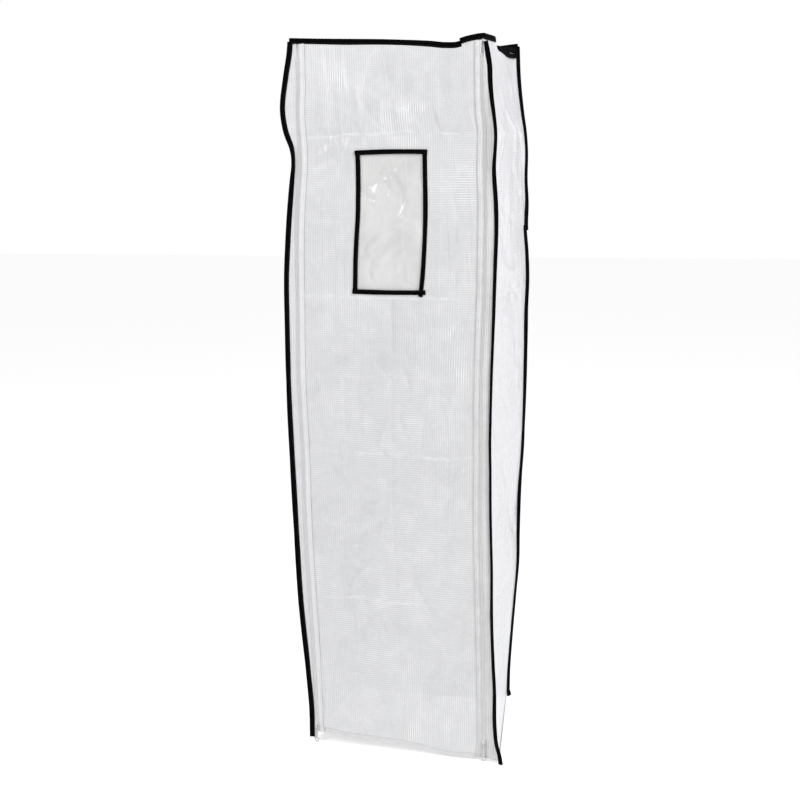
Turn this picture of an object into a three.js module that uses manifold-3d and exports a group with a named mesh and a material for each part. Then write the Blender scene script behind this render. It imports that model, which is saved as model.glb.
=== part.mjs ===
// The cover of a small pop up greenhouse: a tall, narrow, bottomless box of clear film that is
// reinforced with a net. Black tape is bound over its upright corners and round its top, and two
// zips run down the front, so that the film between them is a flap that opens from the bottom up.
//
// Millimetres. The origin is on the floor below the middle of the cover. The front faces -Y, +X is
// on the right of someone who looks at the front, and +Z is up. The flap is closed, both zip
// sliders are parked at the bottom and their pulls hang.

import * as THREE from "three";
import { mergeVertices } from "three/addons/utils/BufferGeometryUtils.js";
import Module from "manifold-3d";

const wasm = await Module();
wasm.setup();

// Overall sizes
const WIDTH = 450; // across the front, over the corner bindings
const DEPTH = 310; // front to back, over the corner bindings
const HEIGHT = 1600; // floor to the top of the top bindings

// Film and tapes
const FILM = 1; // reinforced film
const PANE = 0.6; // plain clear film of the window
const CLEAR = 0.3; // between two pieces that touch
const BINDING_WIDTH = 12; // seen width of a folded binding tape
const BINDING_WALL = 0.8; // one layer of binding tape
const HEM = 14; // height of a folded hem
const LAP_LENGTH = 62; // second end of the top tape, at the front right corner

// Zips
const ZIP_TAPE = 0.8; // thickness of the woven tape
const JAMB_TAPE_SEEN = 10; // jamb tape between its binding and its coil
const FLAP_TAPE = 12; // width of the flap's tape
const FILM_LAP = 7; // how far the flap's film lies behind its zip tape
const COIL_WIDTH = 2; // one side of the closed chain
const COIL_THICKNESS = 2.4;
const CHAIN_SPLIT = 2.4; // free room between the two coils, where the slider's post runs
const ZIP_DROP = 45; // top of the cover down to the top of the zips
const TOP_STOP = 5; // height of a top stop
const END_STOP = 4; // height of a bottom stop
const END_STOP_Z = 11; // floor to the underside of a bottom stop

// Sliders and pulls
const SLIDER_LENGTH = 19;
const SLIDER_MOUTH = 10.4; // width at the open end of the zip, which is the lower one
const SLIDER_TAIL = 8.8; // width at the closed end
const SLIDER_PLATE = 1.2;
const SLIDER_CORNER = 1.5; // rounding of the plates' corners
const SLIDER_WAIST = 6.4; // height over which the plates narrow from mouth to tail
const CHANNEL_CLEAR = 0.4; // between a coil or a tape and the slider round it
const POST_LENGTH = 5.5; // between the plates, where the coils part
const POST_INSET = 1; // slider's lower end to the post
const BAIL_WIDTH = 2.4;
const BAIL_POST = 1.2;
const BAIL_HOLE = 5.2; // height of the hole that the pull hangs in
const PULL_THICKNESS = 1.6;
const PULL_REACH = 41; // hinge to the far end
const PULL_END = 11.5; // width of the round end
const PULL_HOLE = 6; // diameter of the hole in the round end
const PULL_NECK = 7.6; // width of the yoke round the bail
const PULL_EYE = 6; // hinge to the lower end of the yoke's opening
const PULL_ABOVE_FLOOR = 1.5;
const PULL_ABOVE_FOLD = 4; // parked pull's end above the line that the flap folds on

// Flap and window
const FLAP_ABOVE_FLOOR = 5;
const WINDOW_WIDTH = 156; // over the window's bindings
const WINDOW_HEIGHT = 305;
const WINDOW_DROP = 236; // top of the cover down to the window's bindings
const WINDOW_BINDING = 10; // width of a window binding
const PANE_LAP = 6; // how far the pane goes past the cut-out, behind the film

// Modelling
const OVER = 1; // how far a cutting tool goes past what it cuts
const WELD = 1e-4; // points nearer than this are one point
const CURVE_STEPS = 10; // straight pieces in each curve of an outline
const HOLE_SIDES = 20;

// Places that follow from the sizes. The film and the zip tapes of the front share one plane, and
// what is sewn behind them lies in a second one.
const BINDING_THICKNESS = 2 * BINDING_WALL + 2 * FILM + 3 * CLEAR;
const outerFilm = DEPTH / 2 - BINDING_WALL - CLEAR; // outer face of the outer layer
const innerFilm = outerFilm - FILM - CLEAR; // outer face of the inner layer
const frontPlane = -(outerFilm - FILM / 2); // middle of the front film
const webOuter = WIDTH / 2 - BINDING_WIDTH - CLEAR; // outer face of a side film
const webInner = webOuter - FILM;
const seamEnd = WIDTH / 2 - BINDING_WALL - CLEAR; // how far film reaches into a corner binding
const seamTop = HEIGHT - BINDING_WALL - CLEAR; // how far film reaches into a top binding
const topMouth = HEIGHT - BINDING_WIDTH; // lower edge of the top bindings
const betweenTops = DEPTH / 2 - BINDING_THICKNESS - CLEAR; // half the gap that the side tapes fill

const chainHalf = CHAIN_SPLIT / 2 + COIL_WIDTH;
const zipX = WIDTH / 2 - BINDING_WIDTH - JAMB_TAPE_SEEN - chainHalf;
const zipTop = HEIGHT - ZIP_DROP;
const tapeInner = zipX - chainHalf - CLEAR; // flap tape's edge at the coil
const tapeOuter = tapeInner - FLAP_TAPE;
const filmEdge = tapeOuter - CLEAR; // where the flap's film steps behind its zip tape
const coilTop = zipTop - TOP_STOP - CLEAR;
const coilBottom = END_STOP_Z + END_STOP + CLEAR;

const sliderRestZ = PULL_ABOVE_FLOOR + PULL_REACH;
const sliderTopZ = coilTop - CLEAR - SLIDER_LENGTH / 2;
const sliderHalf = COIL_THICKNESS / 2 + CHANNEL_CLEAR + SLIDER_PLATE;
const pullStandoff = PULL_THICKNESS; // hinge line to the slider's front plate
const hingeY = frontPlane - sliderHalf - pullStandoff;
const foldZ = sliderTopZ - PULL_REACH - PULL_ABOVE_FOLD; // line that the flap folds on

const windowTop = HEIGHT - WINDOW_DROP;
const windowBottom = windowTop - WINDOW_HEIGHT;
const paneHalf = WINDOW_WIDTH / 2 - WINDOW_BINDING;
const paneTop = windowTop - WINDOW_BINDING;
const paneBottom = windowBottom + WINDOW_BINDING;

// Materials
const material = (color, roughness, metalness = 0, opacity = 1) =>
  new THREE.MeshStandardMaterial({
    color, roughness, metalness, opacity, transparent: opacity < 1,
  });
const film = () => material(0xe4e8ea, 0.35, 0, 0.75);
const clearFilm = () => material(0xe6e6dd, 0.15, 0, 0.45);
const blackTape = () => material(0x0c0c0d, 0.8);
const zipTape = () => material(0xefeeea, 0.85);
const zipCoil = () => material(0xf4f4f1, 0.4);
const zipMetal = () => material(0xdcdcd8, 0.3, 0.4);

// Solids. A box keeps the very numbers it is given, so boxes that are joined share their faces.
function box(x0, x1, y0, y1, z0, z1) {
  const made = new THREE.BoxGeometry(1, 1, 1);
  const corners = made.attributes.position;
  const pick = (side, a, b) => (side < 0 ? Math.min(a, b) : Math.max(a, b));
  for (let i = 0; i < corners.count; i += 1) {
    corners.setXYZ(i, pick(corners.getX(i), x0, x1), pick(corners.getY(i), y0, y1),
      pick(corners.getZ(i), z0, z1));
  }
  return made;
}

// An outline in plan, as [x, y] points, from one height to another
function upright(points, z0, z1) {
  const outline = new THREE.Shape(points.map(([x, y]) => new THREE.Vector2(x, y)));
  const made = new THREE.ExtrudeGeometry(outline, { depth: z1 - z0, bevelEnabled: false });
  return made.translate(0, 0, z0);
}

// A shape drawn as it is seen from the front, (x, z), between two depths
function facing(outline, y0, y1) {
  const made = new THREE.ExtrudeGeometry(outline, {
    depth: y1 - y0, bevelEnabled: false, curveSegments: CURVE_STEPS,
  });
  return made.rotateX(Math.PI / 2).translate(0, y1, 0);
}

function solidOf(geometry) {
  const bare = geometry.clone();
  bare.deleteAttribute("normal");
  bare.deleteAttribute("uv");
  const merged = mergeVertices(bare, WELD);
  return new wasm.Manifold(new wasm.Mesh({
    numProp: 3,
    vertProperties: merged.attributes.position.array,
    triVerts: new Uint32Array(merged.index.array),
  }));
}

function geometryOf(solid) {
  const { vertProperties, triVerts } = solid.getMesh();
  const made = new THREE.BufferGeometry();
  made.setAttribute("position", new THREE.BufferAttribute(vertProperties, 3));
  made.setIndex(new THREE.BufferAttribute(triVerts, 1));
  made.computeVertexNormals();
  return made;
}

const join = (...parts) => geometryOf(parts.map(solidOf).reduce((a, b) => a.add(b)));
const cut = (part, ...tools) =>
  geometryOf(tools.map(solidOf).reduce((a, b) => a.subtract(b), solidOf(part)));

const cover = new THREE.Group();

function add(name, geometry, finish) {
  const mesh = new THREE.Mesh(geometry, finish);
  mesh.name = name;
  cover.add(mesh);
  return mesh;
}

// Tape folded over an upright seam: a sleeve that is open towards the middle of the cover
function cornerBinding(side, face) {
  const [near, far] = [side * (WIDTH / 2 - BINDING_WIDTH), (side * WIDTH) / 2];
  const [outside, inside] = [(face * DEPTH) / 2, face * (DEPTH / 2 - BINDING_THICKNESS)];
  const top = topMouth - CLEAR;
  return cut(
    box(near, far, outside, inside, 0, top),
    box(near - side * OVER, far - side * BINDING_WALL,
      outside - face * BINDING_WALL, inside + face * BINDING_WALL, -OVER, top + OVER),
  );
}

// Tape folded over a top seam: a sleeve that is open downwards. Its length runs along X.
function topSleeve(x0, x1, y0, y1) {
  return cut(
    box(x0, x1, y0, y1, topMouth, HEIGHT),
    box(x0 - OVER, x1 + OVER, y0 + BINDING_WALL, y1 - BINDING_WALL,
      topMouth - OVER, HEIGHT - BINDING_WALL),
  );
}

// The same along Y, for a side
function sideSleeve(side) {
  const outside = webOuter + CLEAR + BINDING_WALL;
  const inside = outside - BINDING_THICKNESS;
  return cut(
    box(side * inside, side * outside, -betweenTops, betweenTops, topMouth, HEIGHT),
    box(side * (inside + BINDING_WALL), side * (outside - BINDING_WALL),
      -betweenTops - OVER, betweenTops + OVER, topMouth - OVER, HEIGHT - BINDING_WALL),
  );
}

// Side film: a flat wall whose upright edges turn out into the corner bindings
function sidePanel(side) {
  const wall = [
    [webInner, -innerFilm], [seamEnd, -innerFilm], [seamEnd, -innerFilm + FILM],
    [webOuter, -innerFilm + FILM], [webOuter, innerFilm - FILM], [seamEnd, innerFilm - FILM],
    [seamEnd, innerFilm], [webInner, innerFilm],
  ].map(([x, y]) => [side * x, y]);
  const wallTop = topMouth - CLEAR;
  return join(
    upright(wall, 0, wallTop),
    box(side * webInner, side * webOuter, -betweenTops, betweenTops, wallTop - FILM, seamTop),
    box(side * (webInner - CLEAR - FILM), side * webOuter, -betweenTops, betweenTops, 0, HEM),
  );
}

function backPanel() {
  return join(
    box(-seamEnd, seamEnd, outerFilm - FILM, outerFilm, 0, seamTop),
    box(CLEAR - webInner, webInner - CLEAR, innerFilm - FILM, outerFilm, 0, HEM),
  );
}

// Roof film: its four edges turn up into the top bindings, and end short of each other
function topPanel() {
  const half = webInner - CLEAR;
  const roofTop = topMouth - CLEAR;
  const notch = half - HEM;
  const corner = [
    [half - FILM, betweenTops], [WIDTH, betweenTops], [WIDTH, DEPTH], [notch, DEPTH],
    [notch, innerFilm - FILM],
  ];
  const turned = (sx, sy) => corner.map(([x, y]) => [sx * x, sy * y]);
  const well = [
    ...turned(1, 1), ...turned(-1, 1).reverse(), ...turned(-1, -1), ...turned(1, -1).reverse(),
  ];
  return cut(
    box(-half, half, -innerFilm, innerFilm, roofTop - FILM, seamTop),
    upright(well, roofTop, HEIGHT),
  );
}

// Film between the zips, in plan: its upright edges step back behind the zip tapes
function betweenZips() {
  const lapEdge = filmEdge + CLEAR + FILM_LAP;
  const right = [
    [filmEdge, -outerFilm], [filmEdge, -innerFilm], [lapEdge, -innerFilm],
    [lapEdge, FILM - innerFilm], [filmEdge - FILM, FILM - innerFilm],
    [filmEdge - FILM, FILM - outerFilm],
  ];
  const left = right.map(([x, y]) => [-x, y]).reverse();
  return [...right, ...left];
}

// A piece that hinges on the fold line clears what stays above it by these heights
const foldBelow = (thickness) => foldZ - thickness / 2 - CLEAR;
const foldAbove = (thickness) =>
  foldZ + Math.hypot(thickness / 2, thickness / 2 + CLEAR) + CLEAR;

function headerPanel() {
  return join(
    box(-seamEnd, seamEnd, -outerFilm, FILM - outerFilm, zipTop, seamTop),
    upright(betweenZips(), foldAbove(FILM), zipTop + FILM),
  );
}

function flapPanel() {
  const hemEdge = filmEdge - FILM;
  const whole = join(
    upright(betweenZips(), FLAP_ABOVE_FLOOR, foldBelow(FILM)),
    box(-hemEdge, hemEdge, -outerFilm, FILM - innerFilm, FLAP_ABOVE_FLOOR, FLAP_ABOVE_FLOOR + HEM),
  );
  return cut(whole, box(-paneHalf, paneHalf, -DEPTH, 0, paneBottom, paneTop));
}

// Films
add("header_panel", headerPanel(), film());
add("flap_panel", flapPanel(), film());
add("back_panel", backPanel(), film());
add("top_panel", topPanel(), film());

// Bindings round the top: the front one ends short of the corner, where the tape's other end laps
const topFaces = [-DEPTH / 2, BINDING_THICKNESS - DEPTH / 2];
const lapStart = WIDTH / 2 - LAP_LENGTH;
add("top_front_binding", topSleeve(-WIDTH / 2, lapStart - CLEAR, ...topFaces), blackTape());
add("top_front_binding_lap", topSleeve(lapStart, WIDTH / 2, ...topFaces), blackTape());
add("top_rear_binding",
  topSleeve(-WIDTH / 2, WIDTH / 2, DEPTH / 2 - BINDING_THICKNESS, DEPTH / 2), blackTape());

// Window
const paneEdge = paneHalf + PANE_LAP;
add("window_pane",
  box(-paneEdge, paneEdge, -innerFilm, PANE - innerFilm, paneBottom - PANE_LAP, paneTop + PANE_LAP),
  clearFilm());
const windowFaces = [-outerFilm - CLEAR - BINDING_WALL, -outerFilm - CLEAR];
const windowBar = paneHalf - CLEAR;
add("window_top_binding",
  box(-windowBar, windowBar, ...windowFaces, paneTop, windowTop), blackTape());
add("window_bottom_binding",
  box(-windowBar, windowBar, ...windowFaces, windowBottom, paneBottom), blackTape());

// Zip slider round its own middle: two plates with turned edges, held together by a post
function sliderBody() {
  const [tail, mouth, half] = [SLIDER_TAIL / 2, SLIDER_MOUTH / 2, SLIDER_LENGTH / 2];
  const [corner, waist] = [SLIDER_CORNER, SLIDER_WAIST / 2];
  const outline = new THREE.Shape();
  outline.moveTo(-mouth + corner, -half);
  outline.lineTo(mouth - corner, -half);
  outline.quadraticCurveTo(mouth, -half, mouth, -half + corner);
  outline.lineTo(mouth, -waist);
  outline.bezierCurveTo(mouth, 0, tail, 0, tail, waist);
  outline.lineTo(tail, half - corner);
  outline.quadraticCurveTo(tail, half, tail - corner, half);
  outline.lineTo(-tail + corner, half);
  outline.quadraticCurveTo(-tail, half, -tail, half - corner);
  outline.lineTo(-tail, waist);
  outline.bezierCurveTo(-tail, 0, -mouth, 0, -mouth, -waist);
  outline.lineTo(-mouth, -half + corner);
  outline.quadraticCurveTo(-mouth, -half, -mouth + corner, -half);

  const chain = chainHalf + CHANNEL_CLEAR;
  const gap = COIL_THICKNESS / 2 + CHANNEL_CLEAR;
  const slot = ZIP_TAPE / 2 + CHANNEL_CLEAR;
  const plates = cut(
    facing(outline, -sliderHalf, sliderHalf),
    box(-chain, chain, -gap, gap, -SLIDER_LENGTH, SLIDER_LENGTH),
    box(-SLIDER_LENGTH, SLIDER_LENGTH, -slot, slot, -SLIDER_LENGTH, SLIDER_LENGTH),
  );
  const postHalf = CHAIN_SPLIT / 2 - CHANNEL_CLEAR;
  const inPlate = SLIDER_PLATE / 2;
  const postLow = POST_INSET - half;
  const post = box(-postHalf, postHalf, -gap - inPlate, gap + inPlate,
    postLow, postLow + POST_LENGTH);
  const bailOut = sliderHalf + 2 * pullStandoff + SLIDER_PLATE;
  const bailEnd = BAIL_HOLE / 2 + BAIL_POST;
  const bail = cut(
    box(-BAIL_WIDTH / 2, BAIL_WIDTH / 2, -bailOut, inPlate - sliderHalf, -bailEnd, bailEnd),
    box(-BAIL_WIDTH, BAIL_WIDTH, SLIDER_PLATE - bailOut, -sliderHalf, -BAIL_HOLE / 2, BAIL_HOLE / 2),
  );
  return join(plates, post, bail);
}

// Pull round its hinge: a yoke whose bar hangs in the bail, and a tab with a round end
function pullBody() {
  const [bar, neck, end] = [PULL_THICKNESS / 2, PULL_NECK / 2, PULL_END / 2];
  const endZ = end - PULL_REACH;
  const outline = new THREE.Shape();
  outline.moveTo(-neck, bar);
  outline.lineTo(-neck, -PULL_EYE);
  outline.quadraticCurveTo(-neck, endZ / 2, -end, endZ);
  outline.absarc(0, endZ, end, Math.PI, 2 * Math.PI, false);
  outline.quadraticCurveTo(neck, endZ / 2, neck, -PULL_EYE);
  outline.lineTo(neck, bar);
  const arm = neck - PULL_THICKNESS - CLEAR;
  const hole = new THREE.CylinderGeometry(PULL_HOLE / 2, PULL_HOLE / 2, PULL_END, HOLE_SIDES);
  return cut(
    facing(outline, -bar, bar),
    box(-arm, arm, -PULL_END, PULL_END, -PULL_EYE, -bar),
    hole.translate(0, 0, endZ),
  );
}

// All that the left and the right have one of each: side film, bindings and a zip
function addSide(name, side) {
  const at = (x) => side * x;
  add(`${name}_side_panel`, sidePanel(side), film());
  add(`front_${name}_corner_binding`, cornerBinding(side, -1), blackTape());
  add(`rear_${name}_corner_binding`, cornerBinding(side, 1), blackTape());
  add(`top_${name}_binding`, sideSleeve(side), blackTape());
  add(`window_${name}_binding`,
    box(at(paneHalf), at(WINDOW_WIDTH / 2), ...windowFaces, windowBottom, windowTop), blackTape());

  const tape = [frontPlane - ZIP_TAPE / 2, frontPlane + ZIP_TAPE / 2];
  const coil = [frontPlane - COIL_THICKNESS / 2, frontPlane + COIL_THICKNESS / 2];
  const jambCoil = [at(zipX + CHAIN_SPLIT / 2), at(zipX + chainHalf)];
  const flapCoil = [at(zipX - chainHalf), at(zipX - CHAIN_SPLIT / 2)];
  const flapTape = [at(tapeOuter), at(tapeInner)];
  const tapeTop = zipTop - CLEAR;
  add(`${name}_jamb_zip_tape`,
    box(at(zipX + chainHalf + CLEAR), at(seamEnd), ...tape, 0, tapeTop), zipTape());
  add(`${name}_flap_zip_tape`,
    box(...flapTape, ...tape, FLAP_ABOVE_FLOOR, foldBelow(ZIP_TAPE)), zipTape());
  add(`${name}_header_zip_tape`,
    box(...flapTape, ...tape, foldAbove(ZIP_TAPE), tapeTop), zipTape());
  add(`${name}_jamb_zip_coil`, box(...jambCoil, ...coil, coilBottom, coilTop), zipCoil());
  add(`${name}_flap_zip_coil`,
    box(...flapCoil, ...coil, coilBottom, foldBelow(COIL_THICKNESS)), zipCoil());
  add(`${name}_header_zip_coil`,
    box(...flapCoil, ...coil, foldAbove(COIL_THICKNESS), coilTop), zipCoil());

  add(`${name}_zip_top_stop`,
    box(at(zipX - chainHalf), at(zipX + chainHalf), ...coil, coilTop + CLEAR, tapeTop), zipMetal());
  add(`${name}_jamb_zip_end_stop`,
    box(...jambCoil, ...coil, END_STOP_Z, END_STOP_Z + END_STOP), zipMetal());
  add(`${name}_flap_zip_end_stop`,
    box(...flapCoil, ...coil, END_STOP_Z, END_STOP_Z + END_STOP), zipMetal());

  const slider = add(`${name}_zip_slider`, sliderBody(), zipMetal());
  slider.position.set(at(zipX), frontPlane, sliderRestZ);
  const pull = add(`${name}_zip_pull`, pullBody(), zipMetal());
  pull.position.set(at(zipX), hingeY, sliderRestZ);
}

addSide("left", -1);
addSide("right", 1);

export default cover;
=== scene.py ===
"""Looks of a mini pop up greenhouse: an empty, limp cover of net-reinforced film, bound with black
tape, with a clear window and two zips. Metres, +Z up, the front faces -Y. Every place comes from
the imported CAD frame, and the film's sway away from it is given in millimetres."""
import math

import bpy
import numpy as np
from mathutils import Matrix, Vector


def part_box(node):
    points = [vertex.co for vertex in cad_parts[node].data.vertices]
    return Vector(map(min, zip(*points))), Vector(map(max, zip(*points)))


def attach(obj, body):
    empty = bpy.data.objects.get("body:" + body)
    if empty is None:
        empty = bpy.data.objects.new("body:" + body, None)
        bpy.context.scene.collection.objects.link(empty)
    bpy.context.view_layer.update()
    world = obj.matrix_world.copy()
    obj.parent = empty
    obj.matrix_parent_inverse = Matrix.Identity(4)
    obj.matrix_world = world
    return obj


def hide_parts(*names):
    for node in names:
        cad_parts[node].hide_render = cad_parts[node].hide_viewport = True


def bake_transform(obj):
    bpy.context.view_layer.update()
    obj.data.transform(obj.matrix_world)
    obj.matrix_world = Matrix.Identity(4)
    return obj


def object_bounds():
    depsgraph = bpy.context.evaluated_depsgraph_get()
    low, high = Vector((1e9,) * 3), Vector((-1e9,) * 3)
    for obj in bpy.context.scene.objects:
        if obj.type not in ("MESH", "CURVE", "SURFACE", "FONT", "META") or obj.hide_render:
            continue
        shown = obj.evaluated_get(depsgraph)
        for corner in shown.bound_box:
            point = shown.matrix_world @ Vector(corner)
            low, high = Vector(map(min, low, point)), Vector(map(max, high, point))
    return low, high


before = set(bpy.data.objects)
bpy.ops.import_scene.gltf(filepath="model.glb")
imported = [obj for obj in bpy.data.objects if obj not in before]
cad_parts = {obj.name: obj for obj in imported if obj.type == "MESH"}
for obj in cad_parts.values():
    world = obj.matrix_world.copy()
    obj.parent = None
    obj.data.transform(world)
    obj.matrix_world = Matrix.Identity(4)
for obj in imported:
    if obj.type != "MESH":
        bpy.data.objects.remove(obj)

MM = 0.001
cad_low, cad_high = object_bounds()

# Camera
CAMERA_PLACE = (0.751, -2.745, 1.349)
CAMERA_YAW = 15.87
CAMERA_PITCH = 10.95
CAMERA_ROLL = -0.86
CAMERA_LENS = 56.5

# Places from the frame
FILM = 1 * MM
FRONT_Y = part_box("flap_panel")[0].y + FILM / 2
BACK_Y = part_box("back_panel")[1].y - FILM / 2
TOP = cad_high.z
corner_low, corner_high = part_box("front_left_corner_binding")
TAPE_WIDTH = corner_high.x - corner_low.x
CORNER_X = cad_high.x - TAPE_WIDTH / 2
TOP_TAPE_Z = TOP - TAPE_WIDTH / 2
coil_box_low, coil_box_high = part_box("right_jamb_zip_coil")
ZIP_X = (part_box("right_flap_zip_coil")[0].x + coil_box_high.x) / 2
COIL_BOTTOM, COIL_TOP = coil_box_low.z, coil_box_high.z
FLAP_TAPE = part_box("right_flap_zip_tape")
WINDOW_LOW = Vector((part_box("window_left_binding")[0].x, FRONT_Y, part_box("window_bottom_binding")[0].z))
WINDOW_HIGH = Vector((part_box("window_right_binding")[1].x, FRONT_Y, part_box("window_top_binding")[1].z))

# Sizes that only the looks have
TAPE_THICK = 3.6 * MM
WINDOW_TAPE = 10 * MM
EDGE_IN_TAPE = 3 * MM  # how far a film reaches into the top tape
SEAM_TOP = TOP - 20 * MM
REAR_JOIN_Z = 1.178  # the rear right binding is of two lengths that meet here
STEP_Y = -38 * MM  # the right side's upper edge steps down behind this place
LAP_START = 0.885  # share of the front's width at which the top tape's second end starts
ROOF_WIDE, ROOF_DEEP = 0.43, 0.3
SIDE_NAMES = {-1: "left", 1: "right"}


# ---------------------------------------------------------------- curves and numbers
def through(*points):
    """A smooth function through listed (place, value) points, level beyond both ends."""
    at, value = np.array(points, float).T
    slope = np.gradient(value, at)

    def look_up(x):
        x = np.clip(np.asarray(x, float), at[0], at[-1])
        i = np.clip(np.searchsorted(at, x) - 1, 0, len(at) - 2)
        span = at[i + 1] - at[i]
        t = (x - at[i]) / span
        rise = 3 * t**2 - 2 * t**3
        start, end = t**3 - 2 * t**2 + t, t**3 - t**2
        return value[i] + (value[i + 1] - value[i]) * rise + span * (
            start * slope[i] + end * slope[i + 1])
    return look_up


def smooth_step(x, a, b):
    """0 below a, 1 above b and smooth between them."""
    t = np.clip((np.asarray(x, float) - a) / (b - a), 0, 1)
    return t * t * (3 - 2 * t)


def mix(a, b, t):
    return a + (b - a) * t


def unit(v):
    return v / np.maximum(np.linalg.norm(v, axis=-1, keepdims=True), 1e-9)


def crumple(across, along, width, height, seed, count, longest, tallest):
    """Height of a crumpled sheet at (across, along): a count of sharp creases, slightly bent, in
    many directions but more often upright."""
    r = np.random.default_rng(seed)
    out = np.zeros_like(across)
    for _ in range(count):
        cx, cz = r.uniform(0, width), r.uniform(0, height)
        angle = r.normal(math.pi / 2, 0.75)
        length = longest * r.uniform(0.3, 1)
        wide = length * r.uniform(0.10, 0.22)
        tall = tallest * r.uniform(-1, 1)
        dx, dz = across - cx, along - cz
        run = dx * math.cos(angle) + dz * math.sin(angle)
        side = dx * math.sin(angle) - dz * math.cos(angle)
        bend = side + run**2 / length * r.uniform(-0.5, 0.5)
        out += tall * np.exp(-np.abs(bend) / wide) * np.exp(-(run / length) ** 2)
    return out


# ---------------------------------------------------------------- the limp cover's shape
FRONT_LEFT_SWAY = through(
    (0, 6), (0.08, 7), (0.17, 2), (0.35, -11), (0.52, -16), (0.69, -20), (0.81, -22.5),
    (0.98, -22), (1.10, -20), (1.17, -15), (1.25, -8), (1.30, -3), (1.335, 1), (1.367, 0),
    (1.405, -12), (1.44, -17), (1.52, -8), (1.57, 1), (1.6, 4))
FRONT_RIGHT_SWAY = through(
    (0, 22), (0.02, 19), (0.045, 12), (0.09, 7), (0.17, 6), (0.3, 0), (0.47, -2), (0.6, -4),
    (0.8, -4), (0.95, 1), (1.1, 7), (1.25, 10), (1.32, 6), (1.4, 9), (1.435, 5), (1.47, 0),
    (1.5, -3), (1.53, -4.5), (1.555, -8.5), (1.585, -15))
REAR_RIGHT_SWAY = through(
    (0.02, -24), (0.09, -22), (0.18, -16), (0.28, -8), (0.37, -1), (0.46, 0), (0.55, 2),
    (0.64, 8), (0.73, 12), (0.9, 16), (0.99, 17), (1.07, 20), (1.13, 18), (1.19, 14),
    (1.24, 17), (1.3, 16), (1.36, 17), (1.4, 14), (1.44, 8), (1.52, -1), (1.59, -4))
REAR_LEFT_SWAY = through(
    (0, 10), (0.15, 5), (0.36, -4), (0.6, -12), (0.9, -17), (1.1, -15), (1.25, -12), (1.4, -13),
    (1.48, -5), (1.6, 4))


class Corner:
    """An upright corner: where its binding runs, which way the binding points and the seam."""

    def __init__(self, x, y, sway, depth, turn):
        self.x, self.y = x, y
        self.sway, self.depth, self.turn = sway, depth, turn
        self.side = 1 if x > 0 else -1

    def centre(self, z):
        return np.stack([self.x + self.sway(z) * MM, self.y + self.depth(z) * MM,
                         np.asarray(z, float)], axis=-1)

    def outward(self, z):
        a = np.radians(self.turn(z))
        front = -1 if self.y < 0 else 1
        return np.stack([self.side * np.cos(a), front * np.sin(a), np.zeros_like(a)], axis=-1)

    def seam(self, z):
        return self.centre(z) - self.outward(z) * (TAPE_WIDTH / 2 - 2 * MM)


CORNERS = {
    "front_left": Corner(-CORNER_X, FRONT_Y, FRONT_LEFT_SWAY,
                         through((0, 0), (0.4, -4), (0.8, -6), (1.2, -3), (1.35, 2), (1.45, -5),
                                 (1.6, 0)),
                         through((0, 14), (0.5, 20), (1.2, 16), (1.3, 40), (1.345, 66),
                                 (1.39, 30), (1.5, 10), (1.6, 20))),
    "front_right": Corner(CORNER_X, FRONT_Y, FRONT_RIGHT_SWAY,
                          through((0, -12), (0.06, -8), (0.3, -2), (0.8, 2), (1.2, -3), (1.4, -5),
                                  (1.5, 0), (1.6, 0)),
                          through((0, 30), (0.1, 42), (0.4, 55), (0.9, 56), (1.1, 48), (1.3, 40),
                                  (1.38, 55), (1.45, 45), (1.53, 22), (1.6, 20))),
    "rear_right": Corner(CORNER_X, BACK_Y, REAR_RIGHT_SWAY,
                         through((0, 0), (0.3, 4), (0.8, 7), (1.2, 4), (1.6, 0)),
                         through((0, 50), (0.36, 62), (0.5, 45), (0.7, 64), (0.9, 45), (1.4, 60),
                                 (1.6, 40))),
    "rear_left": Corner(-CORNER_X, BACK_Y, REAR_LEFT_SWAY,
                        through((0, 0), (0.4, 5), (0.9, 7), (1.4, 3), (1.6, 0)),
                        through((0, 40), (0.8, 50), (1.6, 35))),
}

FRONT_LEFT, FRONT_RIGHT, REAR_RIGHT, REAR_LEFT = CORNERS.values()

# Height of the top binding's middle, in mm over its place in the frame, from left to right or
# from front to back
FRONT_DROOP = through((-0.22, 0), (-0.1, -6), (0, -10), (0.1, -17), (0.14, -21), (0.155, -20),
                      (0.18, -13), (0.21, -8))
BACK_DROOP = through((-0.22, -3), (-0.1, -20), (0.03, -24), (0.13, -12), (0.22, -4))
LEFT_DROOP = through((-0.155, 0), (0, -9), (0.155, -3))


def right_droop(y):
    """The front part of the right side is held up by the lapped tape and the rear part hangs."""
    front = mix(-8, -5, smooth_step(y, -0.155, -0.05))
    rear = mix(-21, -14, smooth_step(y, -0.03, 0.155))
    return mix(front, rear, smooth_step(y, STEP_Y - 5 * MM, STEP_Y + 5 * MM))


# Where each zip's chain runs, in mm sideways from its place in the frame
CHAIN_SWAY = {
    -1: through((0.10, 0), (0.2, -3), (0.35, -9), (0.52, -13), (0.69, -16), (0.9, -18), (1.1, -16),
                (1.25, -8), (1.35, -1), (1.44, -4), (1.5, 0)),
    1: through((0.10, 0), (0.3, -3), (0.7, -6), (0.95, -1), (1.1, 4), (1.25, 7), (1.33, 4),
               (1.4, 5), (1.45, 1), (1.5, 0)),
}
CHAIN_DEPTH = through((0.10, 0), (0.36, 3), (0.5, -2), (0.705, 3), (0.88, -3), (1.05, 3), (1.2, -3),
                      (1.395, 3), (1.47, 0))

# Creases that stay from packing: heights of the level ones; place, rise in mm and reach of the
# upright ones
PACKING_FOLDS = (0.362, 0.705, 1.05, 1.395)
HALF_FOLDS = (0.18, 0.533, 0.88, 1.222)
UPRIGHT_FOLDS = ((0.006, 1.2, 0.006), (-0.098, 0.9, 0.005), (0.104, -0.9, 0.005))
HANGING_PITCH = 0.041  # between the small folds that hang from the top tape
PUCKER_PITCH = 0.034  # between the puckers along the zips

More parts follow.
